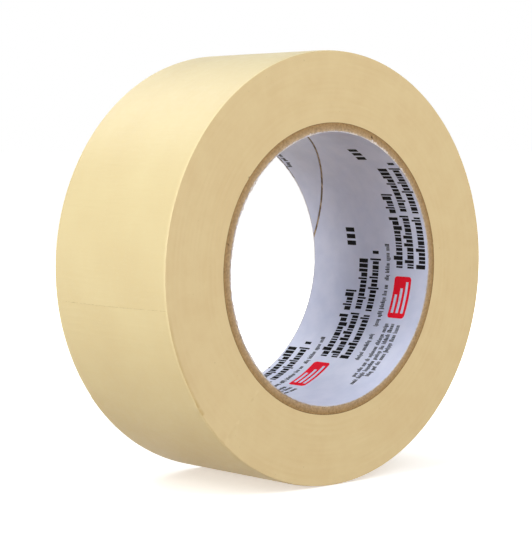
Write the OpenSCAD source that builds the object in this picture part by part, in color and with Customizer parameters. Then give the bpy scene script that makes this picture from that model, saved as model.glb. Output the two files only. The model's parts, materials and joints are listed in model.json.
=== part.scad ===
// Roll of masking tape: one strip of crepe paper tape, wound on a spirally wound paperboard core.
//
// The roll stands on its rim. Its axis lies along Y, the origin is the centre of the bore at
// half the roll's width, and +Z is up. Angles run round the axis from +X towards +Z.

/* [Core] */
// Inner diameter of the core, the standard 3 inch size
core_id = 76.2; // [60:0.1:100]
// Thickness of the printed white paper that lines the bore
liner_t = 0.15; // [0.1:0.01:0.3]
// Thickness of one ply of kraft board
board_t = 0.43; // [0.3:0.01:0.8]
// Thickness of the smooth kraft paper that finishes the outside of the core
wrap_t = 0.16; // [0.1:0.01:0.3]
// Distance along the axis that each ply climbs in one turn
ply_pitch = 145; // [100:1:200]
// Angle at which the liner's seam crosses the middle of the width
liner_seam_angle = 68.8; // [0:0.1:360]
// Gap between the edges of the liner along its seam
liner_seam_gap = 0.7; // [0.2:0.1:1.5]
// Gap between the edges of each board ply along its seam
board_seam_gap = 0.4; // [0.2:0.1:1]
// Angle from the seam of one ply to the seam of the next
seam_stagger = 100; // [40:1:140]

/* [Tape] */
// Outer diameter of the full roll, at the free end of the tape
roll_od = 121; // [110:0.5:150]
// Width of the tape and of the core
tape_w = 48; // [18:1:75]
// Thickness of the tape with its adhesive
tape_t = 0.12; // [0.1:0.01:0.2]

/* [Tail] */
// Angle of the free end of the tape
tail_end_angle = 188; // [170:1:200]
// Angle that one link of the tail spans
link_angle = 4.5; // [3:0.5:6]
// Clearance under the tail, where its adhesive meets the turn below
tail_gap = 0.02; // [0.01:0.01:0.04]

/* [Hidden] */
board_plies = 5;
tail_links = 8;
past = 1;                                     // how far a cutting shape runs past what it cuts
seam_steps = 28;                              // straight pieces in one helical seam
core_r = core_id / 2;
board_r = core_r + liner_t;                   // inside of the first board ply
wrap_r = board_r + board_plies * board_t;     // inside of the outer wrap
core_or = wrap_r + wrap_t;
roll_r = roll_od / 2;
tail_root_angle = tail_end_angle + tail_links * link_angle;
liner_colour = [0.93, 0.93, 0.95];
board_colour = [0.66, 0.55, 0.40];
wrap_colour = [0.60, 0.48, 0.32];
tape_colour = [0.90, 0.83, 0.64];
tail_colour = [0.94, 0.88, 0.70];
$fn = 128;

// Turns a shape that is built along Z so that its axis lies along Y, angles kept.
module on_roll_axis() {
    rotate([90, 0, 0]) children();
}

// Solid disc, with its centre moved by shift towards the tape's free end.
module disc(r, shift = 0, w = tape_w) {
    rotate(tail_end_angle) translate([shift, 0, 0]) cylinder(r = r, h = w, center = true);
}

// Half of all space, from one angle round the axis to that angle plus 180 degrees.
module half_space(from) {
    size = 4 * roll_r;
    rotate(from) translate([-size / 2, 0, -size / 2]) cube(size);
}

// Wedge between two angles, out from the centre of the arc that the tail lies on.
module wedge(from, to) {
    rotate(tail_end_angle) translate([tape_t / 4, 0, 0]) rotate(-tail_end_angle) intersection() {
        half_space(from);
        half_space(to - 180);
    }
}

// Solid inside one turn of the tape's spiral. Its radius is r where the turn starts, at the free
// end's angle, and one thickness less where it ends. Each half turn is an arc on its own centre.
module spiral_disc(r, w = tape_w) {
    intersection() {
        disc(r - tape_t / 4, tape_t / 4, w);
        half_space(tail_end_angle);
    }
    intersection() {
        disc(r - 3 * tape_t / 4, -tape_t / 4, w);
        half_space(tail_end_angle - 180);
    }
}

// Corner of the seam cutter, at step i along it, on side -1 or 1 of the gap and at radius r.
function seam_point(i, side, r, angle, gap) =
    let (z = (i / seam_steps - 0.5) * (tape_w + 2 * past))
    let (climb = atan(ply_pitch / (2 * PI * r)))
    let (half_gap = asin(gap / 2 / r / sin(climb)))
    let (a = angle + 360 * z / ply_pitch + side * half_gap)
    [r * cos(a), r * sin(a), z];

// Helical bar that parts a ply along its seam.
module seam_cutter(r_in, r_out, angle, gap) {
    reach = 0.2;
    corners = [[-1, r_in - reach], [1, r_in - reach], [1, r_out + reach], [-1, r_out + reach]];
    points = [for (i = [0:seam_steps]) for (c = corners) seam_point(i, c[0], c[1], angle, gap)];
    sides = [
        for (i = [0:seam_steps - 1]) for (c = [0:3])
            let (a = 4 * i + c)
            let (b = 4 * i + (c + 1) % 4)
            each [[a, b, a + 4], [b, b + 4, a + 4]]
    ];
    last = 4 * seam_steps;
    ends = [[0, 2, 1], [0, 3, 2], [last, last + 1, last + 2], [last, last + 2, last + 3]];
    polyhedron(points = points, faces = concat(sides, ends));
}

// One ply of the core: a strip wound in a helix, so that its edges meet along a seam.
module ply(r_in, thickness, seam_angle, gap) {
    r_out = r_in + thickness;
    on_roll_axis() difference() {
        disc(r_out);
        disc(r_in, w = tape_w + 2 * past);
        seam_cutter(r_in, r_out, seam_angle, gap);
    }
}

// Printed white paper that lines the bore.
module core_liner() {
    color(liner_colour) ply(core_r, liner_t, liner_seam_angle, liner_seam_gap);
}

// Ply number k of kraft board, counted outwards from the liner.
module core_ply(k) {
    r_in = board_r + (k - 1) * board_t;
    color(board_colour) ply(r_in, board_t, liner_seam_angle + k * seam_stagger, board_seam_gap);
}

// Smooth kraft paper round the outside of the core.
module core_wrap() {
    seam_angle = liner_seam_angle + (board_plies + 1) * seam_stagger;
    color(wrap_colour) ply(wrap_r, wrap_t, seam_angle, board_seam_gap);
}

// Every turn of the tape but the outermost, pressed into one body.
module tape_pack() {
    color(tape_colour) on_roll_axis() difference() {
        spiral_disc(roll_r - tape_t);
        disc(core_or, w = tape_w + 2 * past);
    }
}

// The outermost turn, from where it leaves the pack to the root of the tail.
module tape_outer_turn() {
    color(tape_colour) on_roll_axis() difference() {
        spiral_disc(roll_r);
        spiral_disc(roll_r - tape_t, tape_w + 2 * past);
        wedge(tail_end_angle, tail_root_angle);
    }
}

// Link number k of the tail, counted from the root to the free end.
module tape_tail(k) {
    from = tail_root_angle - k * link_angle;
    color(tail_colour) on_roll_axis() intersection() {
        difference() {
            disc(roll_r - tape_t / 4, tape_t / 4);
            disc(roll_r - 5 * tape_t / 4 + tail_gap, tape_t / 4, tape_w + 2 * past);
        }
        wedge(from, from + link_angle);
    }
}

core_liner();
core_ply(1);  // core_ply_1
core_ply(2);  // core_ply_2
core_ply(3);  // core_ply_3
core_ply(4);  // core_ply_4
core_ply(5);  // core_ply_5
core_wrap();
tape_pack();
tape_outer_turn();
tape_tail(1);  // tape_tail_1
tape_tail(2);  // tape_tail_2
tape_tail(3);  // tape_tail_3
tape_tail(4);  // tape_tail_4
tape_tail(5);  // tape_tail_5
tape_tail(6);  // tape_tail_6
tape_tail(7);  // tape_tail_7
tape_tail(8);  // tape_tail_8
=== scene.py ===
"""Looks of a roll of masking tape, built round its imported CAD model.

The roll stands on its rim. Its axis lies along Y and the origin is the centre of the bore. Angles
run round the axis from +X towards +Z, in radians. Lengths are in metres.
"""

import json
import math

import bpy
import numpy as np
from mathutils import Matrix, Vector


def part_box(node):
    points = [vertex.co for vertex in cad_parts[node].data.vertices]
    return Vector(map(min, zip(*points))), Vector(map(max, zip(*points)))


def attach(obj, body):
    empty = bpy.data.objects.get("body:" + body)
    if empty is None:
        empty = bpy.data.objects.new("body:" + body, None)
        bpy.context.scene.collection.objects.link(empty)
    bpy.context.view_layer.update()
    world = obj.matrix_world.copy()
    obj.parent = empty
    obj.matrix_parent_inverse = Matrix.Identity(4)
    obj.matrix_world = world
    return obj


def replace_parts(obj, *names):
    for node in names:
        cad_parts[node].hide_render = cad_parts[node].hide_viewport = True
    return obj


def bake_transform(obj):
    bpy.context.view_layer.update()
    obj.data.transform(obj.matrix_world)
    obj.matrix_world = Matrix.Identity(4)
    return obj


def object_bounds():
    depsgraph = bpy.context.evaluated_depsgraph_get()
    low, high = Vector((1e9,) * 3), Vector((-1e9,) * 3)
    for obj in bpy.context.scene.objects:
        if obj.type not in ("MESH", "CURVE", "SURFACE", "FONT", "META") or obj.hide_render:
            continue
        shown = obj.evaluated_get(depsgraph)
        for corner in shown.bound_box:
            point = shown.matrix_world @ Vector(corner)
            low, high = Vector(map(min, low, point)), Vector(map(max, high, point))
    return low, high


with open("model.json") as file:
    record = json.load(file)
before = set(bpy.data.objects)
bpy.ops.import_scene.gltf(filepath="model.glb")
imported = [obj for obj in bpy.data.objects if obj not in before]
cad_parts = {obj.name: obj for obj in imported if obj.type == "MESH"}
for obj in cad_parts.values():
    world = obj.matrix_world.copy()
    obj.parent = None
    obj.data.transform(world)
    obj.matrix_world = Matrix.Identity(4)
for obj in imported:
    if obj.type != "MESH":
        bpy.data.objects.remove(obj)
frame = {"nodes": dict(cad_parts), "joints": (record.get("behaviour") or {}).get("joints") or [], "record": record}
cad_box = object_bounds()

MM = 0.001
TURN = 2 * math.pi


def degrees(value):
    """An angle given in degrees, in radians."""
    return math.radians(value)


# -------------------------------- sizes from the frame


def node_radii(node):
    """Least and greatest distance of a CAD node's surface from the roll's axis."""
    points = np.array([v.co for v in frame["nodes"][node].data.vertices])
    r = np.hypot(points[:, 0], points[:, 2])
    return float(r.min()), float(r.max())


bore = next(m for m in frame["record"]["mounts"] if m["name"] == "core_bore")
bore_r = bore["dims"]["r_mm"] * MM
core_r = node_radii("core_wrap")[1]
roll_r = node_radii("tape_tail_8")[1]
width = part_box("tape_pack")[1].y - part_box("tape_pack")[0].y
half_width = width / 2
tail_joints = [j for j in frame["joints"] if j["name"].startswith("tail_")]
hinge_angles = [math.atan2(j["pos_m"][2], j["pos_m"][0]) % TURN for j in tail_joints]
root_angle = hinge_angles[0]                     # where the tail leaves the rest of the tape
link_angle = hinge_angles[0] - hinge_angles[1]
end_angle = root_angle - len(tail_joints) * link_angle

# -------------------------------- driving dimensions

TAPE_T = 0.12 * MM               # thickness of the tape with its adhesive
LAY_GAP = 0.004 * MM             # air left under a turn of tape
EDGE_ROUND = 0.18 * MM           # radius to which the roll's edges are rounded
EDGE_SAG = 0.15 * MM             # how far the outer turns have sunk at their edges
SAG_REACH = 1.4 * MM             # how far in from the edges they have sunk
SAG_ROWS = np.array([0.3, 0.55, 0.75, 0.9, 1.0])     # where the mesh has rows there, in SAG_REACH
EDGE_HIGHLIGHT_REACH = 0.75 * MM            # how far in from its edges a highlight is painted on the tape's face
SEAM_PITCH = 145 * MM            # distance that a ply climbs in one turn
LINER_SEAM = degrees(68.8)       # where the liner's seam crosses the middle of the width
LINER_GAP = 0.7 * MM
BOARD_GAP = 0.4 * MM
SEAM_STAGGER = degrees(100)      # from one ply's seam to the next one's
BOARD_PLIES = 5
INK_T = 0.03 * MM
LIP = 0.6 * MM                   # how far the loose end was laid back out of line
LIP_ANGLES = [end_angle + degrees(a) for a in (0, 10, 20, 27, 29)]
LIP_SHARES = [0.25, 0.7, 1.0, 0.95, 0.0]     # share of LIP at each of those angles
LIP_SHADOW_REACH = 1.5 * MM           # how far in from the rim a shadow is painted beside the lip
CURL = 0.25 * MM                 # how far the strip's front edge has sprung up where the lip ends
CURL_ANGLE = end_angle + degrees(26.5)
CURL_SPAN = degrees(1.6)
CURL_REACH = 2.5 * MM            # how far in from the edge it has sprung up
END_LIFT = 0.015 * MM            # how far the cut end has sprung off the turn below
END_WANDER = 0.15 * MM           # how far the cut end strays from a straight line
NICK_ANGLE = degrees(140.8)      # a small dent in the tape beside the core, with painted shade in it
NICK_DEPTH = 0.35 * MM
NICK_SIZE = 0.45 * MM

# -------------------------------- numbers for shapes


def smooth_step(x):
    """0 below 0, 1 above 1, and a smooth rise between."""
    x = np.clip(x, 0, 1)
    return x * x * (3 - 2 * x)


def on_axis(r, angle, y):
    """Points at radius r, an angle round the axis and a place y along it."""
    r, angle, y = np.broadcast_arrays(r, angle, y)
    return np.stack([r * np.cos(angle), y, r * np.sin(angle)], axis=-1)


def ripples(seed, count, along, across):
    """Function of two lengths, the sum of many sine waves of wavelengths in two ranges, about 1 high."""
    rng = np.random.default_rng(seed)
    lengths = rng.uniform(*along, count)
    cross_lengths = rng.uniform(*across, count) * rng.choice([-1, 1], count)
    phases = rng.uniform(0, TURN, count)

    def height(s, y):
        total = 0
        for length, cross_length, phase in zip(lengths, cross_lengths, phases):
            total = total + np.sin(TURN * (s / length + y / cross_length) + phase)
        return total / math.sqrt(count / 2)

    return height


def rough(seed, shape):
    """Random heights, about 1 high, smoothed a little down their first axis, which closes on itself."""
    raw = np.random.default_rng(seed).normal(size=shape)
    blend = 0.7                      # weight of each neighbour beside the point's own
    return (raw + blend * np.roll(raw, 1, axis=0) + blend * np.roll(raw, -1, axis=0)) / (2 * blend)


def edge_sag(y):
    """How far a turn has sunk at a place across the tape."""
    reach = (np.abs(y) - (half_width - EDGE_ROUND - SAG_REACH)) / SAG_REACH
    return EDGE_SAG * np.clip(reach, 0, 1) ** 2


def rows_across(count):
    """Places across the flat of the tape, count of them even, and closer ones where it sinks."""
    inner = half_width - EDGE_ROUND - SAG_REACH
    near_edge = inner + SAG_REACH * SAG_ROWS
    return np.concatenate([-near_edge[::-1], np.linspace(-inner, inner, count), near_edge])


def edge_inset(depth):
    """How far the rounded edge of the roll has drawn in at a depth below its outer surface."""
    reach = np.clip(EDGE_ROUND - depth, 0, EDGE_ROUND)
    return EDGE_ROUND - np.sqrt(EDGE_ROUND**2 - reach**2)


# -------------------------------- meshes


def sweep_faces(columns, loop, closed):
    """Quads that join a loop of points in one column to the same loop in the next."""
    i, j = np.meshgrid(np.arange(columns if closed else columns - 1), np.arange(loop), indexing="ij")
    next_i = (i + 1) % columns
    next_j = (j + 1) % loop
    quads = np.stack([i * loop + j, i * loop + next_j, next_i * loop + next_j, next_i * loop + j], axis=-1)
    return quads.reshape(-1, 4)


def cap_faces(columns, loop):
    """Quads that close both ends of an open sweep. The first half of its loop faces the second."""
    j = np.arange(loop // 2 - 1)
    start = np.stack([j, loop - 1 - j, loop - 2 - j, j + 1], axis=-1)
    return np.concatenate([start, (columns - 1) * loop + start[:, ::-1]])


def add_object(name, data):
    """A new object of a mesh, a camera or a lamp, in the scene."""
    made = bpy.data.objects.new(name, data)
    bpy.context.scene.collection.objects.link(made)
    return made


def add_piece(name, points, faces, materials, face_slots=None):
    """A smooth mesh object of these points and faces."""
    mesh = bpy.data.meshes.new(name)
    mesh.from_pydata(points.reshape(-1, 3).tolist(), [], faces.tolist())
    for material in materials:
        mesh.materials.append(material)
    if face_slots is not None:
        mesh.polygons.foreach_set("material_index", np.asarray(face_slots, np.int32))
    mesh.shade_smooth()
    mesh.validate()
    return add_object(name, mesh)


def add_sweep(name, grid, materials, loop_slots=0, closed=False):
    """A mesh swept through a grid of points, columns first. Each step of its loop can have a material."""
    columns, loop = grid.shape[:2]
    faces = sweep_faces(columns, loop, closed)
    slots = np.broadcast_to(loop_slots, (len(faces) // loop, loop)).ravel()
    if not closed:
        caps = cap_faces(columns, loop)
        faces = np.concatenate([faces, caps])
        slots = np.concatenate([slots, np.full(len(caps), len(materials) - 1)])
    return add_piece(name, grid, faces, materials, slots)


def sharpen(piece, angle=degrees(35)):
    """Leaves edges that turn by more than an angle sharp in a piece's shading."""
    piece.data.set_sharp_from_angle(angle=angle)
    return piece


# -------------------------------- a kit for node materials


class Material:
    """A node material on one Principled shader, with short calls for the nodes it is made of."""

    def __init__(self, name, roughness, **even_values):
        self.material = bpy.data.materials.new(name)
        self.material.use_nodes = True
        self.tree = self.material.node_tree
        self.shader = self.tree.nodes["Principled BSDF"]
        self.shader.inputs["Roughness"].default_value = roughness
        for socket, value in even_values.items():
            self.shader.inputs[socket.replace("_", " ")].default_value = value

    def node(self, kind, inputs=None, **settings):
        """A new node. Inputs are numbers, colours or other nodes' outputs, by the socket's name."""
        made = self.tree.nodes.new(kind)
        for key, value in settings.items():
            setattr(made, key, value)
        for key, value in (inputs or {}).items():
            if isinstance(value, bpy.types.NodeSocket):
                self.tree.links.new(value, made.inputs[key])
            else:
                made.inputs[key].default_value = value
        return made

    def math(self, operation, first, second=0.0):
        """One arithmetic step."""
        return self.node("ShaderNodeMath", {0: first, 1: second}, operation=operation).outputs[0]

    def place(self):
        """Where a point is in the piece, in metres."""
        return self.node("ShaderNodeTexCoord").outputs["Object"]

    def strip_place(self):
        """Where a point is on the unrolled tape, in metres: along it, across it and below its face."""
        return self.node("ShaderNodeAttribute", attribute_name="strip").outputs["Vector"]

    def noise(self, place, size, detail=3.0, rough=0.5, scales=(1, 1, 1)):
        """Noise, from 0 to 1, whose features are of a size in metres, stretched on each axis."""
        scale = [s / size for s in scales]
        scaled = self.node("ShaderNodeVectorMath", {0: place, 1: scale}, operation="MULTIPLY").outputs[0]
        inputs = {"Vector": scaled, "Scale": 1.0, "Detail": detail, "Roughness": rough}
        return self.node("ShaderNodeTexNoise", inputs).outputs["Fac"]

    def axes(self, place):
        """The X, Y and Z of a place."""
        return self.node("ShaderNodeSeparateXYZ", {0: place}).outputs

    def radius(self, place):
        """Distance from the roll's axis."""
        axes = self.axes(place)
        x_squared = self.math("MULTIPLY", axes["X"], axes["X"])
        z_squared = self.math("MULTIPLY", axes["Z"], axes["Z"])
        return self.math("SQRT", self.math("ADD", x_squared, z_squared))

    def share(self, value, low, high, low_out=0.0, high_out=1.0):
        """A value mapped from one range to another, and held at the ends."""
        inputs = {"Value": value, "From Min": low, "From Max": high, "To Min": low_out, "To Max": high_out}
        return self.node("ShaderNodeMapRange", inputs).outputs["Result"]

    def mix(self, factor, first, second):
        """A colour between two colours."""
        made = self.node("ShaderNodeMix", data_type="RGBA")
        colours = [s for s in made.inputs if s.type == "RGBA"]
        for socket, value in zip([made.inputs["Factor"], *colours], [factor, first, second]):
            if isinstance(value, bpy.types.NodeSocket):
                self.tree.links.new(value, socket)
            elif socket.type == "RGBA":
                socket.default_value = (*value, 1.0)
            else:
                socket.default_value = value
        return next(s for s in made.outputs if s.type == "RGBA")

    def laid_over(self, under, over, value, low, high, most):
        """A colour laid over another, up to a share of most, as a value rises from low to high."""
        return self.mix(self.share(value, low, high, 0.0, most), under, over)

    def set(self, socket, value):
        """Drives a socket of the shader."""
        self.tree.links.new(value, self.shader.inputs[socket])

    def set_roughness(self, noise, least, most):
        """Lets the roughness follow a noise."""
        self.set("Roughness", self.share(noise, 0.3, 0.7, least, most))

    def bump(self, *heights):
        """Bumps on the shader, from pairs of a height from 0 to 1 and its depth in metres."""
        normal = None
        for height, depth in heights:
            inputs = {"Height": height, "Distance": depth, "Strength": 1.0}
            if normal is not None:
                inputs["Normal"] = normal
            normal = self.node("ShaderNodeBump", inputs).outputs["Normal"]
        self.set("Normal", normal)


# -------------------------------- colours, in linear light

CREPE_DARK = (0.66, 0.55, 0.30)
CREPE_LIGHT = (0.69, 0.59, 0.33)
CREPE_WARM = (0.69, 0.57, 0.30)
CREPE_FIBRE = (0.72, 0.65, 0.39)
CREPE_EDGE_HIGHLIGHT = (0.79, 0.68, 0.40)  # painted highlight along the tape's edges, where the rounded rim meets the faces
ADHESIVE_DARK = (0.60, 0.46, 0.23)
ADHESIVE_LIGHT = (0.66, 0.52, 0.28)
EDGE_DARK = (0.65, 0.51, 0.28)
EDGE_LIGHT = (0.68, 0.55, 0.31)
EDGE_RING = (0.70, 0.58, 0.35)
# painted shadow on the front face beside the lip of the loose end
LIP_SHADOW = (0.55, 0.40, 0.18)
# dark specks on the faces, and painted shade in the nick
SPECK_AND_SHADE = (0.22, 0.15, 0.08)
# the dark line along the cut end, darker and lighter
END_LINE_DARK = (0.40, 0.31, 0.17)
END_LINE_LIGHT = (0.52, 0.42, 0.24)
# painted shade in the bottom of the liner's seam, darker and lighter
SEAM_DARK = (0.13, 0.09, 0.05)
SEAM_LIGHT = (0.24, 0.17, 0.11)
BOARD_INNER = (0.58, 0.44, 0.29)
BOARD_OUTER = (0.42, 0.27, 0.12)
BOARD_SHADE = 0.62               # how dark the board's darker fibres are beside its lighter ones
FLECK_SHADE = 0.6                # how dark its flecks are beside the darker fibres
WRAP_DARK = (0.17, 0.10, 0.04)
WRAP_LIGHT = (0.27, 0.16, 0.07)
LINER_DARK = (0.61, 0.66, 0.84)
LINER_LIGHT = (0.68, 0.72, 0.89)
LINER_FRAY = (0.40, 0.30, 0.20)
INK_BLACK = (0.01, 0.01, 0.01)
INK_BLACK_WORN = (0.08, 0.08, 0.09)
INK_RED = (0.93, 0.01, 0.03)
INK_RED_WORN = (0.93, 0.06, 0.08)
FIBRE_DARK = (0.55, 0.50, 0.47)
FIBRE_LIGHT = (0.82, 0.78, 0.78)
FLOOR_DARK = (0.93, 0.93, 0.93)
FLOOR_LIGHT = (0.96, 0.96, 0.96)

# -------------------------------- the materials of the roll and the floor


def crepe_paper():
    """The tape's face: saturated crepe paper, with fine cross ridges, cloudy pulp, a low gloss and a painted
    highlight along its edges.
    """
    m = Material("crepe_paper", 0.5, Specular_IOR_Level=0.38, Sheen_Weight=0.08, Sheen_Roughness=0.5)
    place = m.strip_place()
    across = m.math("ABSOLUTE", m.axes(place)["Y"])
    clouds = m.noise(place, size=22 * MM, detail=2.0)
    pulp = m.noise(place, size=2.2 * MM, rough=0.6)
    fibres = m.noise(place, size=0.5 * MM, detail=2.0, rough=0.6, scales=(1, 0.3, 1))
    ridges = m.noise(place, size=0.42 * MM, detail=2.0, scales=(1, 0.12, 1))
    base = m.mix(m.share(clouds, 0.35, 0.65), CREPE_DARK, CREPE_LIGHT)
    base = m.laid_over(base, CREPE_WARM, pulp, 0.4, 0.75, 0.3)
    base = m.laid_over(base, CREPE_FIBRE, fibres, 0.55, 0.8, 0.25)
    # painted highlight: the face is paler near its edges, where the rounded rim catches the light
    base = m.laid_over(base, CREPE_EDGE_HIGHLIGHT, across, half_width - EDGE_HIGHLIGHT_REACH, half_width - EDGE_ROUND, 0.45)
    m.set("Base Color", base)
    m.set_roughness(pulp, 0.42, 0.58)
    m.bump((ridges, 0.018 * MM), (pulp, 0.01 * MM))
    return m.material


def adhesive():
    """The tape's sticky side: tan, smooth and a little shiny."""
    m = Material("adhesive", 0.3, Specular_IOR_Level=0.5)
    place = m.strip_place()
    patches = m.noise(place, size=3 * MM, detail=2.0)
    ridges = m.noise(place, size=0.4 * MM, rough=0.6, scales=(1, 0.2, 1))
    m.set("Base Color", m.mix(m.share(patches, 0.3, 0.7), ADHESIVE_DARK, ADHESIVE_LIGHT))
    m.set_roughness(patches, 0.28, 0.42)
    m.bump((ridges, 0.012 * MM))
    return m.material


def lip_painted_shadow(m, place, r):
    """How much shadow is painted on the front face beside the lip of the loose end, from 0 to 1."""
    axes = m.axes(place)
    angle = m.math("ARCTAN2", axes["Z"], axes["X"])      # from minus half a turn to half a turn
    lip_start = end_angle - TURN
    lip_end = LIP_ANGLES[-1] - TURN
    before = m.share(angle, lip_start, lip_start + degrees(4))
    along = m.share(angle, lip_start, lip_end, 0.3, 1.0)
    past = m.share(angle, lip_end, lip_end + degrees(0.6), 1.0, 0.0)
    near_rim = m.share(r, roll_r - LIP_SHADOW_REACH, roll_r - 0.5 * LIP_SHADOW_REACH)
    in_front = m.share(axes["Y"], -MM, 0.0, 1.0, 0.0)
    patches = m.share(m.noise(place, size=2.2 * MM, detail=2.0), 0.35, 0.55, 0.45, 1.0)
    painted_shadow = 0.9
    for part in (along, past, before, near_rim, in_front, patches):
        painted_shadow = m.math("MULTIPLY", part, painted_shadow)
    return painted_shadow


def tape_edges():
    """The slit edges of all the turns, side by side: fine rings, faint patches, a few specks, a painted shadow
    beside the lip of the loose end and painted shade in the nick.
    """
    m = Material("tape_edges", 0.62, Specular_IOR_Level=0.3)
    place = m.place()
    r = m.radius(place)
    swirl = m.noise(place, size=9 * MM, detail=2.0)
    wavy_r = m.math("ADD", r, m.math("MULTIPLY", swirl, 0.25 * MM))
    ring_place = m.node("ShaderNodeCombineXYZ", {"X": wavy_r, "Y": 0.0, "Z": 0.0}).outputs[0]
    wide_rings = m.noise(ring_place, size=1.6 * MM, rough=0.6)
    fine_rings = m.noise(ring_place, size=0.24 * MM, detail=2.0)
    patches = m.noise(place, size=7 * MM, rough=0.55)
    specks = m.noise(place, size=0.8 * MM, detail=0.0)
    grain = m.noise(place, size=0.3 * MM, rough=0.6)
    base = m.mix(m.share(patches, 0.35, 0.65), EDGE_DARK, EDGE_LIGHT)
    base = m.laid_over(base, EDGE_RING, wide_rings, 0.4, 0.7, 0.25)
    base = m.laid_over(base, EDGE_DARK, fine_rings, 0.5, 0.8, 0.2)
    base = m.laid_over(base, SPECK_AND_SHADE, specks, 0.84, 0.88, 0.25)
    # painted shadow beside the lip
    base = m.mix(lip_painted_shadow(m, place, r), base, LIP_SHADOW)
    # painted shade in the nick's dent
    nick = on_axis(core_r, NICK_ANGLE, -half_width).tolist()
    away = m.node("ShaderNodeVectorMath", {0: place, 1: nick}, operation="DISTANCE").outputs["Value"]
    base = m.mix(m.share(away, 0.3 * NICK_SIZE, NICK_SIZE, 0.95, 0.0), base, SPECK_AND_SHADE)
    m.set("Base Color", base)
    m.set_roughness(patches, 0.56, 0.7)
    m.bump((fine_rings, 0.012 * MM), (grain, 0.012 * MM))
    return m.material


def dark_line_paint(name, dark, light):
    """A dark, matt line: painted shade in the liner's seam, and the dark line along the tape's cut end."""
    m = Material(name, 0.7, Specular_IOR_Level=0.25)
    place = m.place()
    mottle = m.noise(place, size=0.6 * MM, rough=0.6)
    m.set("Base Color", m.mix(m.share(mottle, 0.35, 0.65), dark, light))
    m.bump((m.noise(place, size=0.1 * MM, detail=2.0), 0.01 * MM))
    return m.material


def kraft(name, dark, light):
    """Kraft paper board: brown fibres in every direction, darker flecks and a matt, felted surface."""
    m = Material(name, 0.85, Specular_IOR_Level=0.2)
    place = m.place()
    felt = m.noise(place, size=0.7 * MM, detail=5.0, rough=0.7)
    clouds = m.noise(place, size=5 * MM, detail=2.0)
    flecks = m.noise(place, size=0.35 * MM, detail=1.0)
    fuzz = m.noise(place, size=0.16 * MM, detail=2.0)
    base = m.mix(m.share(felt, 0.38, 0.62), dark, light)
    base = m.laid_over(base, light, clouds, 0.35, 0.7, 0.35)
    base = m.laid_over(base, [FLECK_SHADE * c for c in dark], flecks, 0.66, 0.74, 0.6)
    m.set("Base Color", base)
    m.set_roughness(felt, 0.75, 0.92)
    m.bump((felt, 0.06 * MM), (fuzz, 0.03 * MM))
    return m.material


def liner_paper():
    """Bleached printing paper: cool white, calendered smooth, with a soft shine and frayed cut edges."""
    m = Material("liner_paper", 0.42, Specular_IOR_Level=0.45)
    place = m.place()
    across = m.math("ABSOLUTE", m.axes(place)["Y"])
    clouds = m.noise(place, size=6 * MM, rough=0.55)
    grain = m.noise(place, size=0.25 * MM, rough=0.6)
    frays = m.noise(place, size=1.1 * MM, detail=2.0)
    at_cut = m.share(across, half_width - 0.25 * MM, half_width - 0.08 * MM)
    frayed = m.math("MULTIPLY", at_cut, m.share(frays, 0.46, 0.56, 0.0, 0.8))
    base = m.mix(m.share(clouds, 0.35, 0.65), LINER_DARK, LINER_LIGHT)
    m.set("Base Color", m.mix(frayed, base, LINER_FRAY))
    m.set_roughness(grain, 0.34, 0.5)
    m.bump((grain, 0.004 * MM), (clouds, 0.02 * MM))
    return m.material


def ink(name, colour, worn):
    """Printing ink, a little uneven where the paper's grain has taken less of it."""
    m = Material(name, 0.7, Specular_IOR_Level=0.05)
    takes = m.noise(m.place(), size=0.2 * MM, rough=0.65)
    m.set("Base Color", m.laid_over(colour, worn, takes, 0.58, 0.85, 0.6))
    m.set("Roughness", m.share(takes, 0.3, 0.8, 0.6, 0.8))
    m.bump((takes, 0.004 * MM))
    return m.material


def torn_paper(name, dark, light):
    """Loose paper fibres along a cut edge."""
    m = Material(name, 0.85, Specular_IOR_Level=0.2, Sheen_Weight=0.1)
    place = m.place()
    fibres = m.noise(place, size=0.5 * MM, rough=0.6)
    m.set("Base Color", m.mix(m.share(fibres, 0.3, 0.7), dark, light))
    m.bump((m.noise(place, size=0.1 * MM, detail=2.0), 0.01 * MM))
    return m.material


def floor_paper():
    """The pale floor under the roll, which glows more further away, so that it stays white."""
    m = Material("floor_paper", 0.9, Specular_IOR_Level=0.1, Emission_Color=(1, 1, 1, 1))
    place = m.place()
    grain = m.noise(place, size=4 * MM, detail=2.0)
    distance = m.node("ShaderNodeVectorMath", {0: place}, operation="LENGTH").outputs["Value"]
    m.set("Base Color", m.mix(m.share(grain, 0.3, 0.7), FLOOR_DARK, FLOOR_LIGHT))
    m.set("Emission Strength", m.share(distance, 0.08, 0.6, 0.45, 1.0))
    return m.material


crepe_material = crepe_paper()
adhesive_material = adhesive()
edge_material = tape_edges()
cut_end_material = dark_line_paint("dark_cut_end_line", END_LINE_DARK, END_LINE_LIGHT)
seam_shade_material = dark_line_paint("seam_painted_shade", SEAM_DARK, SEAM_LIGHT)
wrap_material = kraft("kraft_wrap", WRAP_DARK, WRAP_LIGHT)
liner_material = liner_paper()
black_material = ink("ink_black", INK_BLACK, INK_BLACK_WORN)
red_material = ink("ink_red", INK_RED, INK_RED_WORN)
white_material = ink("ink_white", LINER_LIGHT, LINER_DARK)
fibre_material = torn_paper("torn_paper", FIBRE_DARK, FIBRE_LIGHT)
board_fibre_material = torn_paper("torn_board", WRAP_LIGHT, BOARD_INNER)

# -------------------------------- the core

PLY_COLUMNS, PLY_ROWS = 540, 26  # columns round a ply's mesh, and rows across each of its sides
LINER_COLUMNS, LINER_ROWS = 420, 62
PLY_ROUGH = 0.014 * MM           # how rough a ply's cut ends are
LINER_ROUGH = 0.04 * MM
PLY_BEVEL = 0.12                 # width of the bevel on a ply's ends, as a share of its thickness
BEVEL_R = np.array([0.6, 0.88])  # where the points of its ends lie, as shares of its thickness
END_SINK = 0.02 * MM             # how far a ply's ends lie below the faces of the roll
SEAM_COLUMNS = 180
SEAM_SHADE_T = 0.04 * MM


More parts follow.
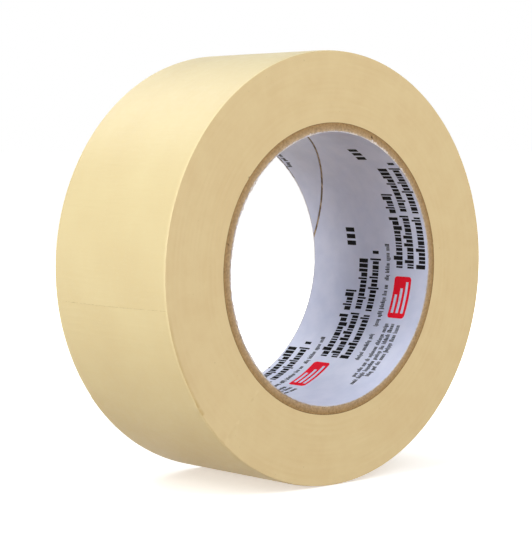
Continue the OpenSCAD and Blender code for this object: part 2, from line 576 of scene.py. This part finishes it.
def ply_grid(r_in, r_out, seam_angle, gap, columns, rows, roughness, seed):
    """Points of a strip wound in a helix into a tube, from one edge of its seam round to the other."""
    bevel = PLY_BEVEL * (r_out - r_in)
    run = np.linspace(-1, 1, rows) * (half_width - bevel)
    y = np.concatenate([[-half_width] * 2, run, [half_width] * 2])
    share = np.concatenate([BEVEL_R, np.ones(rows), BEVEL_R[::-1]])
    loop_y = np.concatenate([y, y[::-1]])
    loop_share = np.concatenate([share, 1 - share[::-1]])
    loop_r = r_in + (r_out - r_in) * loop_share
    climb = np.arctan(SEAM_PITCH / (TURN * loop_r))
    gap_angle = gap / loop_r / np.sin(climb)
    seam = seam_angle - TURN * loop_y / SEAM_PITCH
    turned = np.linspace(0, 1, columns)[:, None]
    angle = seam + gap_angle / 2 + turned * (TURN - gap_angle)
    at_end = np.abs(loop_y) > half_width - 2 * bevel
    ragged = roughness * rough(seed, (columns, len(loop_y))) * at_end
    on_outside = loop_share > 0.5
    return on_axis(loop_r + 0.3 * ragged * on_outside, angle, loop_y + ragged - END_SINK * np.sign(loop_y))


def add_ply(name, node, number, gap, material, columns=PLY_COLUMNS, rows=PLY_ROWS, roughness=PLY_ROUGH):
    """One ply of the core, which stands for its CAD node. Number 0 is the liner."""
    r_in, r_out = node_radii(node)
    seam_angle = LINER_SEAM + number * SEAM_STAGGER
    grid = ply_grid(r_in, r_out, seam_angle, gap, columns, rows, roughness, seed=20 + number)
    piece = sharpen(add_sweep(name, grid, [material]))
    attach(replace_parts(piece, node), "root")
    return piece


def add_seam_painted_shade():
    """A thin dark sheet in the bottom of the liner's seam: painted shade in its groove."""
    board_r = node_radii("core_liner")[1]
    y = np.linspace(-1, 1, SEAM_COLUMNS)[:, None] * half_width
    climb = math.atan(SEAM_PITCH / (TURN * bore_r))
    half_gap = LINER_GAP / 2 / bore_r / math.sin(climb)
    angle = LINER_SEAM - TURN * y / SEAM_PITCH + half_gap * np.array([-1, 1, 1, -1])
    top_r = board_r - SEAM_SHADE_T * (0.6 + 0.4 * rough(25, (SEAM_COLUMNS, 1)))
    under_r = np.full_like(top_r, board_r)
    r = np.concatenate([top_r, top_r, under_r, under_r], axis=1)
    piece = sharpen(add_sweep("liner_seam_painted_shade", on_axis(r, angle, y), [seam_shade_material]))
    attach(piece, "root")


def add_core():
    """The printed liner, the plies of board and the kraft paper round them."""
    liner = add_ply("core_liner_paper", "core_liner", 0, LINER_GAP, liner_material,
                    LINER_COLUMNS, LINER_ROWS, LINER_ROUGH)
    for k in range(1, BOARD_PLIES + 1):
        share = math.sqrt((k - 1) / (BOARD_PLIES - 1))
        light = (1 - share) * np.array(BOARD_INNER) + share * np.array(BOARD_OUTER)
        material = kraft(f"kraft_board_{k}", BOARD_SHADE * light, light)
        board = add_ply(f"core_board_{k}", f"core_ply_{k}", k, BOARD_GAP, material)
    wrap = add_ply("core_kraft_wrap", "core_wrap", BOARD_PLIES + 1, BOARD_GAP, wrap_material)


# -------------------------------- the tape

PACK_COLUMNS = 500
PACK_ROWS = 5
CORNER_ROWS = 7                  # rows round each rounded edge of the pack
FACE_ROWS = 68
STRIP_STEP = 0.305 * MM          # distance between the columns of the strip's mesh
STRIP_ROWS = 20
EDGE_DEPTHS = TAPE_T * np.array([0.72, 0.42, 0.2, 0.06])    # of the points on the strip's edges
STEP_ANGLE = root_angle + degrees(4)     # where the pack's outline steps out by one turn
STEP_RUN = degrees(0.06)         # and over how far
CREPE_DEPTH = 0.006 * MM         # height of the tape's large wrinkles
FACE_WAVE = 0.012 * MM           # how far groups of turns stand out of line on the faces
FACE_RING = 0.005 * MM           # how far single rows of the faces' mesh do
FACE_R = 50 * MM                 # radius at which the waves of the faces are measured round
FACE_CALM = 1.5 * MM             # how far below the rim the waves reach their full height
FACE_END = 0.03 * MM             # distance from the core to the last row of a face but one
LIFT_REACH = 3 * MM              # how far from the cut end it has sprung up
CUT_PLACE = 20 * MM              # the place along the wander's waves that shapes the cut end
BEAD_COLUMNS = 160
BEAD_RUN = 0.05 * MM             # how far the bead reaches out past the cut end
BEAD_OUT = np.array([-1.0, -1.0, 0.15, 0.6, 0.95, 0.95])    # the bead's section, in shares of BEAD_RUN
BEAD_UP = np.array([0.0, 0.62, 0.5, 0.3, 0.08, 0.0])        # and in shares of the tape's thickness

crepe_height = ripples(31, 26, (0.9 * MM, 3.2 * MM), (9 * MM, 60 * MM))
wander = ripples(32, 6, (9 * MM, 40 * MM), (50 * MM, 90 * MM))
bead_run = ripples(35, 9, (30 * MM, 60 * MM), (1.5 * MM, 9 * MM))
face_height = ripples(33, 14, (14 * MM, 70 * MM), (1.2 * MM, 9 * MM))


def spiral_r(angle):
    """Radius of the strip's outer face at an angle along its spiral, counted on past one turn."""
    return roll_r - TAPE_T * (angle - end_angle) / TURN


def lip(angle):
    """How far the strip is laid out of line towards the front at an angle along its spiral."""
    return LIP * np.interp(angle, LIP_ANGLES, LIP_SHARES)


def edge_curl(angle, y):
    """How far the strip's front edge stands off the turn below."""
    near_edge = smooth_step((CURL_REACH - half_width - y) / CURL_REACH)
    return CURL * near_edge * np.exp(-((angle - CURL_ANGLE) / CURL_SPAN) ** 2)


def end_stray(y):
    """Angle by which the cut end strays from a straight line at a place across the tape."""
    return END_WANDER / roll_r * wander(CUT_PLACE, y)


def strip_section():
    """Depth below the outer face and place across the strip, for each point of its section."""
    flat = rows_across(STRIP_ROWS)
    edge_y = half_width - edge_inset(EDGE_DEPTHS)
    top_y = np.concatenate([-edge_y, flat, edge_y[::-1]])
    top_depth = np.concatenate([EDGE_DEPTHS, np.zeros(len(flat)), EDGE_DEPTHS[::-1]])
    under_half = half_width - float(edge_inset(TAPE_T))
    under_y = top_y / top_y.max() * under_half
    depth = np.concatenate([top_depth, np.full(len(top_y), TAPE_T - LAY_GAP)])
    return depth, np.concatenate([top_y, under_y[::-1]])


def strip_grid(angle):
    """Points of the strip at angles along its spiral, and where each lies on the unrolled tape."""
    angle, depth, y = np.broadcast_arrays(angle, *strip_section())
    along = (angle - end_angle) * roll_r
    crepe = CREPE_DEPTH * crepe_height(along, y) * (1 - depth / TAPE_T)
    lift = END_LIFT * smooth_step(1 - along / LIFT_REACH) * (0.7 + 0.3 * wander(0, y))
    r = spiral_r(angle) - edge_sag(y) - depth + crepe + lift + edge_curl(angle, y)
    return on_axis(r, angle, y - lip(angle)), np.stack([along, y, depth], axis=-1)


def grid_normals(grid):
    """Outward normals of a swept grid, from its neighbouring points."""
    along = np.gradient(grid, axis=0)
    across = np.roll(grid, -1, axis=1) - np.roll(grid, 1, axis=1)
    normals = np.cross(across, along)
    return normals / np.linalg.norm(normals, axis=-1, keepdims=True)


def shade_strip(mesh, grid, normals):
    """Shades a swept mesh by its grid's own normals, and the quads that close its two ends flat."""
    corner_points = np.zeros(len(mesh.loops), np.int32)
    mesh.loops.foreach_get("vertex_index", corner_points)
    corner_normals = normals.reshape(-1, 3)[corner_points]
    cap_corners = 4 * (grid.shape[1] // 2 - 1)
    out_of_start = grid[0, 0] - grid[1, 0]
    out_of_end = grid[-1, 0] - grid[-2, 0]
    corner_normals[-2 * cap_corners:-cap_corners] = out_of_start / np.linalg.norm(out_of_start)
    corner_normals[-cap_corners:] = out_of_end / np.linalg.norm(out_of_end)
    mesh.normals_split_custom_set(corner_normals.tolist())


def add_strip(name, angle, pad_start, pad_end, cap_material=edge_material):
    """A length of tape. Padding columns join its shading to the lengths before and after it."""
    grid, places = strip_grid(angle)
    normals = grid_normals(grid)
    kept = slice(1 if pad_start else 0, -1 if pad_end else None)
    grid, places, normals = grid[kept], places[kept], normals[kept]
    loop = grid.shape[1]
    slots = np.where(np.arange(loop) < loop // 2 - 1, 0, 1)      # paper on top, adhesive round the rest
    piece = add_sweep(name, grid, [crepe_material, adhesive_material, cap_material], slots)
    strip = piece.data.attributes.new("strip", "FLOAT_VECTOR", "POINT")
    strip.data.foreach_set("vector", places.astype(np.float32).ravel())
    shade_strip(piece.data, grid, normals)
    return piece


def strip_angles(start, end, pad_start, pad_end):
    """Angles of the columns of a length of tape, as a column array."""
    steps = max(2, round((end - start) * roll_r / STRIP_STEP))
    step = (end - start) / steps
    first = -1 if pad_start else 0
    last = steps + 1 if pad_end else steps
    return start + step * np.arange(first, last + 1)[:, None]


def pack_side(angle, top):
    """Places along the axis of the pack's front and back, and their radii, from the rim to the core."""
    depths = np.linspace(TAPE_T, EDGE_ROUND, CORNER_ROWS)
    corner_r = top + TAPE_T - depths - EDGE_SAG
    face_top = top + TAPE_T - EDGE_ROUND - EDGE_SAG
    face_r = face_top + (core_r + FACE_END - face_top) * np.linspace(0, 1, FACE_ROWS)[1:]
    r = np.concatenate([corner_r, face_r, np.full_like(top, core_r)], axis=1)
    y = np.concatenate([half_width - edge_inset(depths), np.full(FACE_ROWS, half_width)])
    waves = FACE_WAVE * face_height(angle * FACE_R, r) * smooth_step((roll_r - r) / FACE_CALM)
    rings = FACE_RING * rough(34, (r.shape[1], 1))[:, 0]
    from_nick = (angle - NICK_ANGLE) * core_r
    nick = NICK_DEPTH * np.exp(-(from_nick**2 + (r - core_r) ** 2) / NICK_SIZE**2)
    return waves + rings + nick - y, waves + rings + y, r


def pack_grid():
    """Points of the turns under the outermost one, pressed together, with the core's hole."""
    angle = np.linspace(STEP_ANGLE, STEP_ANGLE + TURN - STEP_RUN, PACK_COLUMNS)[:, None]
    top = spiral_r(angle) - TAPE_T
    rim_y = rows_across(PACK_ROWS)
    rim_r = top - edge_sag(rim_y)
    front_y, back_y, side_r = pack_side(angle, top)
    y = np.concatenate([np.broadcast_to(rim_y, rim_r.shape), back_y, front_y[:, ::-1]], axis=1)
    r = np.concatenate([rim_r, side_r, side_r[:, ::-1]], axis=1)
    return on_axis(r, angle, y)


def add_pack():
    """All the turns of tape under the outermost one."""
    piece = add_sweep("tape_wound_turns", pack_grid(), [edge_material], closed=True)
    sharpen(piece, degrees(40))
    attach(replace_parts(piece, "tape_pack"), "root")


def add_outer_turn():
    """The outermost turn, which goes on under the tail to where the pack takes it up."""
    start = root_angle + link_angle / 2
    end = STEP_ANGLE + TURN - 2 * STEP_RUN
    piece = add_strip("tape_outermost_turn", strip_angles(start, end, True, False), True, False)
    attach(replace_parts(piece, "tape_outer_turn"), "root")


def on_strip(angle):
    """The point of the strip's outer face at an angle, at half the width."""
    return Vector(on_axis(spiral_r(angle), angle, 0.0).tolist())


def add_tail():
    """The loose end, in lengths from the middle of one link of the tail to the middle of the next, and the last
    length, which goes with the tail's last body.
    """
    bodies = ["root"] + [j["child"] for j in tail_joints]
    middles = [root_angle + link_angle * (0.5 - k) for k in range(len(bodies))]
    for k in range(1, len(bodies)):
        angle = strip_angles(middles[k], middles[k - 1], True, True)
        piece = add_strip(f"tape_tail_length_{k}", angle, True, True)
        on_strip(middles[k - 1])
        on_strip(middles[k])
        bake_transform(piece)
        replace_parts(piece, f"tape_tail_{k}")
    angle = strip_angles(end_angle, middles[-1], False, True)
    near_end = smooth_step((middles[-1] - angle) / (middles[-1] - end_angle))
    angle = angle + end_stray(strip_section()[1]) * near_end
    piece = add_strip("tape_tail_end", angle, False, True, cut_end_material)
    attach(piece, bodies[-1])


def add_end_bead():
    """A thin dark bead along the cut end, which draws a dark line there."""
    y = np.linspace(-1, 1, BEAD_COLUMNS)[:, None] * (half_width - SAG_REACH / 2)
    run = BEAD_RUN * np.clip(0.9 + 0.45 * bead_run(0, y), 0.15, 2.0) / roll_r
    angle = end_angle + end_stray(y) - run * BEAD_OUT
    r = roll_r - TAPE_T - edge_sag(y) + TAPE_T * BEAD_UP
    piece = add_sweep("tape_cut_end_line", on_axis(r, angle, y - lip(angle)), [cut_end_material])
    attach(piece, tail_joints[-1]["child"])


# -------------------------------- the print in the bore

BLOCK_STEP_ANGLE = degrees(-45.9)  # from one block of print to the next along the paper
BLOCK_STEP_Y = 18.9 * MM
FIRST_ANGLE = degrees(-2.8)      # left end and foot of the first block
FIRST_Y = -24.8 * MM
LANE_ANGLE = degrees(104.5)      # from one lane of blocks to the other across the paper
LANE_Y = 38.5 * MM
BOLD_SIZE = 3.6 * MM             # height of the line
BOLD_LINES = [(35.5 * MM, 2.0 * MM), (34.2 * MM, 6.6 * MM), (23.7 * MM, 11.1 * MM)]      # end and foot
BOLD_GROUP = (4, 17)             # range of the number of bars in a group
BOLD_STROKES = [0.15, 0.26, 0.34]  # widths of the bars, as shares of the line's height
SMALL_SIZE = 1.75 * MM
SMALL_LINES = [(-36.5 * MM, 7.5 * MM), (-41.1 * MM, 9.9 * MM), (-37.5 * MM, 12.3 * MM)]  # start and foot
SMALL_END = -16.8 * MM
SMALL_GROUP = (3, 12)
SMALL_STROKES = [0.1, 0.14, 0.18]
FOOT_SPANS = [(0.0, 9.9 * MM), (12.3 * MM, 25.3 * MM), (26.6 * MM, 37.8 * MM)]           # start and end
FOOT_Y = -2.5 * MM
FOOT_GROUP = (4, 14)
BAR_GAPS = (0.06, 0.09)          # this and the next three are shares of the line's height
GROUP_GAP = 0.3
BAR_HEIGHTS = [0.7, 0.7, 0.7, 1.0]
DEEP_FOOT = 0.24                 # how far a deep bar goes below the line
DEEP_CHANCE = 0.08               # share of the bars that are deep
MARK_X, MARK_Y = 36.6 * MM, 11.4 * MM
MARK_BARS = 3
MARK_BAR_W = 1.35 * MM
MARK_STEP = 2.05 * MM
BADGE_X, BADGE_Y = -15.1 * MM, 7.2 * MM
BADGE_W, BADGE_H = 12.6 * MM, 6.8 * MM
BADGE_CORNER = 1.1 * MM
BADGE_ROWS = 7                   # rows of the mesh in each of its corners
STRIPE_INSETS = (1.6, 3.6, 5.6)  # right margins of its stripes, the lowest first, in stripe heights
INK_STEP = 0.6 * MM              # distance between the columns of a patch of ink
INK_MARGIN = 0.12 * MM           # width of the bare edges of the liner
INK_LEAST = 0.05 * MM            # patches that are lower than this are left out


def bar_row(rng, start, end, foot, size, group, strokes):
    """Upright bars in groups along one line, as (left, right, bottom, top). They spell nothing."""
    bars = []
    x = start
    while x < end - GROUP_GAP * size:
        for _ in range(rng.integers(*group)):
            thick = size * rng.choice(strokes)
            if x + thick > end:
                break
            low = foot - size * (DEEP_FOOT if rng.random() < DEEP_CHANCE else 0.0)
            high = foot + size * rng.choice(BAR_HEIGHTS)
            bars.append((x, x + thick, low, high))
            x += thick + size * rng.uniform(*BAR_GAPS)
        x += GROUP_GAP * size
    return bars


def block_bars(rng):
    """All the bars of one block of print, measured from its left end and foot."""
    bars = []
    for end, foot in BOLD_LINES:
        bars += bar_row(rng, 0.0, end, foot, BOLD_SIZE, BOLD_GROUP, BOLD_STROKES)
    for start, foot in SMALL_LINES:
        bars += bar_row(rng, start, SMALL_END, foot, SMALL_SIZE, SMALL_GROUP, SMALL_STROKES)
    for start, end in FOOT_SPANS:
        bars += bar_row(rng, start, end, FOOT_Y, SMALL_SIZE, FOOT_GROUP, SMALL_STROKES)
    for k in range(MARK_BARS):
        left = MARK_X + MARK_STEP * k
        bars.append((left, left + MARK_BAR_W, MARK_Y, MARK_Y + BOLD_SIZE))
    return bars


def print_blocks():
    """Angle and place along the axis of the left end and foot of each block that shows."""
    first_lane = [(FIRST_ANGLE, FIRST_Y, k) for k in range(3)]
    second_lane = [(FIRST_ANGLE + LANE_ANGLE, FIRST_Y + LANE_Y, k) for k in range(-2, 1)]
    return [(a + k * BLOCK_STEP_ANGLE, y + k * BLOCK_STEP_Y) for a, y, k in first_lane + second_lane]


def bent_patch(left, right, low, high, block, lift=0.0):
    """Grid of a thin patch of ink on the bore, clipped to the width, or None if none of it is left."""
    block_angle, foot = block
    edge = half_width - INK_MARGIN
    y_low = max(foot + low, -edge)
    y_high = min(foot + high, edge)
    if y_high - y_low < INK_LEAST:
        return None
    columns = 2 + int((right - left) / INK_STEP)
    angle = block_angle + np.linspace(left, right, columns)[:, None] / bore_r
    top = bore_r - INK_T - lift
    under = bore_r + INK_T
    return on_axis(np.array([under, under, top, top]), angle, np.array([y_low, y_high, y_high, y_low]))


def badge_patches(block):
    """Strips of a plain badge with round corners, as grids."""
    grids = []
    quarter = np.linspace(0, math.pi / 2, BADGE_ROWS)
    steps = BADGE_CORNER * (1 - np.cos(quarter))
    edges = np.concatenate([steps, BADGE_H - steps[::-1]])
    for low, high in zip(edges[:-1], edges[1:]):
        middle = (low + high) / 2
        short = max(BADGE_CORNER - middle, BADGE_CORNER - (BADGE_H - middle), 0.0)
        inset = BADGE_CORNER - math.sqrt(BADGE_CORNER**2 - short**2)
        left = BADGE_X + inset
        right = BADGE_X + BADGE_W - inset
        grids.append(bent_patch(left, right, BADGE_Y + low, BADGE_Y + high, block))
    return grids


def badge_stripes():
    """Plain stripes on a badge, as (left, right, bottom, top), with gaps as high as themselves."""
    stripe = BADGE_H / (2 * len(STRIPE_INSETS) + 1)
    left = BADGE_X + min(STRIPE_INSETS) * stripe
    rights = [BADGE_X + BADGE_W - inset * stripe for inset in STRIPE_INSETS]
    feet = [BADGE_Y + (1 + 2 * k) * stripe for k in range(len(STRIPE_INSETS))]
    return [(left, right, foot, foot + stripe) for right, foot in zip(rights, feet)]


def join_grids(grids):
    """Points and faces of several swept grids, in one mesh."""
    points, faces, offset = [], [], 0
    for grid in grids:
        columns, loop = grid.shape[:2]
        points.append(grid.reshape(-1, 3))
        faces += [sweep_faces(columns, loop, False) + offset, cap_faces(columns, loop) + offset]
        offset += columns * loop
    return np.concatenate(points), np.concatenate(faces)


def add_print(name, patches, material):
    """One colour of the print, on the liner."""
    points, faces = join_grids([p for p in patches if p is not None])
    piece = sharpen(add_piece(name, points, faces, [material]))
    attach(piece, "root")


def add_prints():
    """Rows of plain bars, and red badges with white stripes, in place of any writing."""
    black, red, white = [], [], []
    for block in print_blocks():
        bars = block_bars(np.random.default_rng(50))
        black += [bent_patch(*bar, block) for bar in bars]
        red += badge_patches(block)
        white += [bent_patch(*stripe, block, INK_T) for stripe in badge_stripes()]
    add_print("print_black_bars", black, black_material)
    add_print("print_red_badges", red, red_material)
    add_print("print_white_stripes", white, white_material)


# -------------------------------- torn edges

TORN_COLUMNS = 1200
BROAD_COLUMNS = 200              # columns of the broad tears, on which the fine ones lie
TORN_ANGLES = [degrees(a) for a in (0, 30, 50, 130, 150, 215, 235, 300, 330, 360)]
TORN_OUT = MM * np.array([0.04, 0.08, 0.3, 0.3, 0.16, 0.12, 0.12, 0.12, 0.04, 0.04])    # over the board
TORN_IN = MM * np.array([0.02, 0.06, 0.16, 0.2, 0.26, 0.24, 0.08, 0.03, 0.02, 0.02])    # into the bore
LEAST_OUT = 0.015 * MM
LEAST_IN = 0.02 * MM
TORN_T = 0.05 * MM
TORN_ROOT = 0.3 * MM             # how far inside the bore the torn edge begins
TORN_HOLD = 0.02 * MM            # how far it is sunk into the liner
FIBRE_SIDES = 6
FIBRE_RINGS = 6
FIBRE_TAPER = 0.75
FIBRE_CURL = 0.5                 # how far a fibre bends off its line, as a share of its length
FIBRE_LEAN = 0.9                 # how far a fibre leans into the bore at most
FIBRE_STRAY = 0.9                # how far it strays along the edge
TUFT_COUNT = (4, 11)             # range of the number of fibres in a tuft
TUFT_SPREAD = 0.35 * MM          # how far from each other the fibres of one tuft start
FIBRES = {                       # seed, radius, thickness, reach, material, and arcs as (start, end, tufts)
    "liner": (61, bore_r, 0.05 * MM, 0.45 * MM, fibre_material,
              [(40, 130, 60), (130, 235, 40), (235, 300, 20), (300, 400, 12)]),
    "board": (62, bore_r + 0.3 * MM, 0.06 * MM, 0.5 * MM, board_fibre_material,
              [(236, 300, 46), (140, 236, 26), (300, 400, 16), (40, 140, 16)]),
}


def torn_shares(seed):
    """How ragged the torn edge is at each of its columns, about 0 to 2."""
    fine = rough(seed, (TORN_COLUMNS, 1))
    broad = rough(seed + 1, (BROAD_COLUMNS, 1))
    places = np.arange(TORN_COLUMNS)[:, None] / TORN_COLUMNS
    broad = np.interp(places, np.arange(BROAD_COLUMNS + 1) / BROAD_COLUMNS, np.append(broad, broad[0]))
    return np.clip(0.15 + 0.7 * fine + 0.6 * broad, 0, 2.2)


def add_torn_edge(name, side, seed):
    """The liner's torn edge on one face: a thin ragged lip that curls out of the bore."""
    angle = TURN * np.arange(TORN_COLUMNS)[:, None] / TORN_COLUMNS
    ragged = torn_shares(seed)
    out = LEAST_OUT + ragged * np.interp(angle, TORN_ANGLES, TORN_OUT)
    into = LEAST_IN + (0.5 + 0.5 * ragged) * np.interp(angle, TORN_ANGLES, TORN_IN)
    lift = 0.25 * out
    even = np.ones_like(out)
    past_bore = [TORN_HOLD * even, -0.5 * into, -into, out, out, 2 * TORN_HOLD * even]
    proud = [-TORN_ROOT * even, 0 * even, TORN_T + 0.5 * lift, TORN_T + lift, lift, -TORN_HOLD * even]
    r = bore_r + np.concatenate(past_bore, axis=1)
    grid = on_axis(r, angle, side * (half_width + np.concatenate(proud, axis=1)))
    grid = grid if side < 0 else grid[:, ::-1]
    piece = sharpen(add_sweep(name, grid, [fibre_material], closed=True))
    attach(piece, "root")


def fibre_grid(start, heading, length, thickness, curl):
    """Grid of one thin curved fibre that tapers to its tip."""
    heading = heading / np.linalg.norm(heading)
    side = np.cross(heading, curl)
    side = side / np.linalg.norm(side)
    t = np.linspace(0, 1, FIBRE_RINGS)[:, None]
    line = start + length * (t * heading + 0.5 * t**2 * curl)
    around = TURN * np.arange(FIBRE_SIDES) / FIBRE_SIDES
    ring = np.cos(around)[:, None] * side + np.sin(around)[:, None] * np.cross(heading, side)
    r = thickness / 2 * (1 - FIBRE_TAPER * t)
    return line[:, None, :] + r[:, None, :] * ring[None, :, :]


def tuft(rng, centre, r, side, thickness, reach):
    """Grids of a few fibres that start close together on one face and lean into the bore."""
    grids = []
    for _ in range(rng.integers(*TUFT_COUNT)):
        angle = centre + rng.normal() * TUFT_SPREAD / r
        start = on_axis(r + rng.uniform(-0.02, 0.1) * MM, angle, side * (half_width - 0.03 * MM))
        lean = -rng.uniform(0, FIBRE_LEAN)
        stray = rng.normal() * FIBRE_STRAY
        proud = side * rng.uniform(0.3, 1)
        heading = np.array([lean * math.cos(angle) - stray * math.sin(angle), proud,
                            lean * math.sin(angle) + stray * math.cos(angle)])
        length = reach * rng.uniform(0.4, 1)
        thick = thickness * rng.uniform(0.6, 1.3)
        grids.append(fibre_grid(start, heading, length, thick, rng.normal(size=3) * FIBRE_CURL))
    return grids


def add_fibres(name, layer, side):
    """Tufts of loose fibres along the cut edge of one layer of the core, on one face."""
    seed, r, thickness, reach, material, arcs = FIBRES[layer]
    rng = np.random.default_rng(seed)
    grids = []
    for start, end, tufts in arcs:
        for centre in rng.uniform(degrees(start), degrees(end), tufts):
            grids += tuft(rng, centre, r, side, thickness, reach)
    piece = add_piece(name, *join_grids(grids), [material])
    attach(piece, "root")


def add_torn_edges():
    """What is torn and frayed on the two faces of the core."""
    for side, face_name in ((-1, "front"), (1, "back")):
        add_torn_edge(f"liner_torn_edge_{face_name}", side, 70)
        for layer in FIBRES:
            add_fibres(f"{layer}_torn_fibres_{face_name}", layer, side)


# -------------------------------- camera, floor and light

VIEW_AZIMUTH = degrees(-42.05)   # the camera looks along +Y at 0 and along +X at -90 degrees
VIEW_ELEVATION = degrees(3.69)
VIEW_DISTANCE = 0.535
VIEW_RIGHT = 2.85 * MM           # where the bore's centre lies from the middle of the view
VIEW_UP = 0.98 * MM
VIEW_NEAR, VIEW_FAR = 0.05, 100  # the distances between which the camera sees things
LENS = 125.05
FLOOR_REACH = 30.0
LAMP_DISTANCE = 1.0
LAMP_SIZE = 0.6
LAMPS = {                        # the direction each lamp stands in, and its power in watts
    "left_lamp": ((-1.0, 0.0, 0.1), 5.8),
    "upper_left_lamp": ((-0.7, 0.0, 0.7), 4.0),
    "front_lamp": ((0.0, -1.0, 0.1), 4.0),
    "upper_front_lamp": ((0.0, -0.7, 0.7), 4.3),
    "upper_back_lamp": ((0.0, 0.7, 0.7), 3.6),
    "back_right_lamp": ((0.7, 0.7, 0.3), 1.3),
    "right_lamp": ((1.0, 0.1, 0.2), 1.3),
}
ROOM_BELOW = (0.27, 0.17, 0.05)  # what reaches the roll from below, off a warm floor
ROOM_LEVEL = (1.0, 1.0, 1.0)
ROOM_ABOVE = (0.03, 0.03, 0.03)
ROOM_STOPS = [                   # heights in the sky, from -1 to 1, and the colours there
    (-0.035, ROOM_BELOW),
    (-0.025, ROOM_LEVEL),
    (0.12, ROOM_LEVEL),
    (0.24, ROOM_ABOVE),
]


def add_aimed(name, data, place, away):
    """A camera or a lamp at a place, which looks against the direction away."""
    made = add_object(name, data)
    made.location = place
    made.rotation_mode = "QUATERNION"
    made.rotation_quaternion = (-away).to_track_quat("-Z", "Y")
    return made


def add_camera():
    """The camera, at the distance and angle from which the roll is seen."""
    flat = Vector((math.sin(VIEW_AZIMUTH), -math.cos(VIEW_AZIMUTH), 0))
    back = flat * math.cos(VIEW_ELEVATION) + Vector((0, 0, math.sin(VIEW_ELEVATION)))
    right = Vector((math.cos(VIEW_AZIMUTH), math.sin(VIEW_AZIMUTH), 0))
    up = back.cross(right)
    data = bpy.data.cameras.new("camera")
    data.lens = LENS
    data.clip_start = VIEW_NEAR
    data.clip_end = VIEW_FAR
    place = back * VIEW_DISTANCE - right * VIEW_RIGHT - up * VIEW_UP
    bpy.context.scene.camera = add_aimed("camera", data, place, back)


def add_floor():
    """A plain pale floor that the roll stands on."""
    mesh = bpy.data.meshes.new("floor")
    corners = [(-1, -1), (1, -1), (1, 1), (-1, 1)]
    points = [(x * FLOOR_REACH, y * FLOOR_REACH, cad_box[0].z) for x, y in corners]
    mesh.from_pydata(points, [], [(0, 1, 2, 3)])
    mesh.materials.append(floor_paper())
    floor = add_object("floor", mesh)
    floor.visible_diffuse = False    # the room lights the roll from below, and not this white sheet
    floor.visible_shadow = False


def add_lamp(name, direction, power):
    """A square soft box that points at the roll."""
    data = bpy.data.lights.new(name, "AREA")
    data.size = LAMP_SIZE
    data.energy = power
    away = Vector(direction).normalized()
    add_aimed(name, data, away * LAMP_DISTANCE, away)


def add_room():
    """A room that is white all round, dark overhead and warm below."""
    world = bpy.data.worlds.new("room")
    world.use_nodes = True
    tree = world.node_tree
    place = tree.nodes.new("ShaderNodeTexCoord")
    axes = tree.nodes.new("ShaderNodeSeparateXYZ")
    height = tree.nodes.new("ShaderNodeMapRange")
    ramp = tree.nodes.new("ShaderNodeValToRGB")
    height.inputs["From Min"].default_value = -1.0
    tree.links.new(place.outputs["Generated"], axes.inputs[0])
    tree.links.new(axes.outputs["Z"], height.inputs["Value"])
    tree.links.new(height.outputs["Result"], ramp.inputs["Fac"])
    tree.links.new(ramp.outputs["Color"], tree.nodes["Background"].inputs["Color"])
    stops = ramp.color_ramp.elements
    stops[0].color = (*ROOM_BELOW, 1)
    stops[1].color = (*ROOM_ABOVE, 1)
    for z, colour in ROOM_STOPS:
        stops.new((z + 1) / 2).color = (*colour, 1)
    bpy.context.scene.world = world
    bpy.context.scene.view_settings.view_transform = "Standard"


# -------------------------------- the whole

add_camera()
add_core()
add_seam_painted_shade()
add_pack()
add_outer_turn()
add_tail()
add_end_bead()
add_prints()
add_torn_edges()
add_floor()
add_room()
for lamp_name, (lamp_direction, lamp_power) in LAMPS.items():
    add_lamp(lamp_name, lamp_direction, lamp_power)
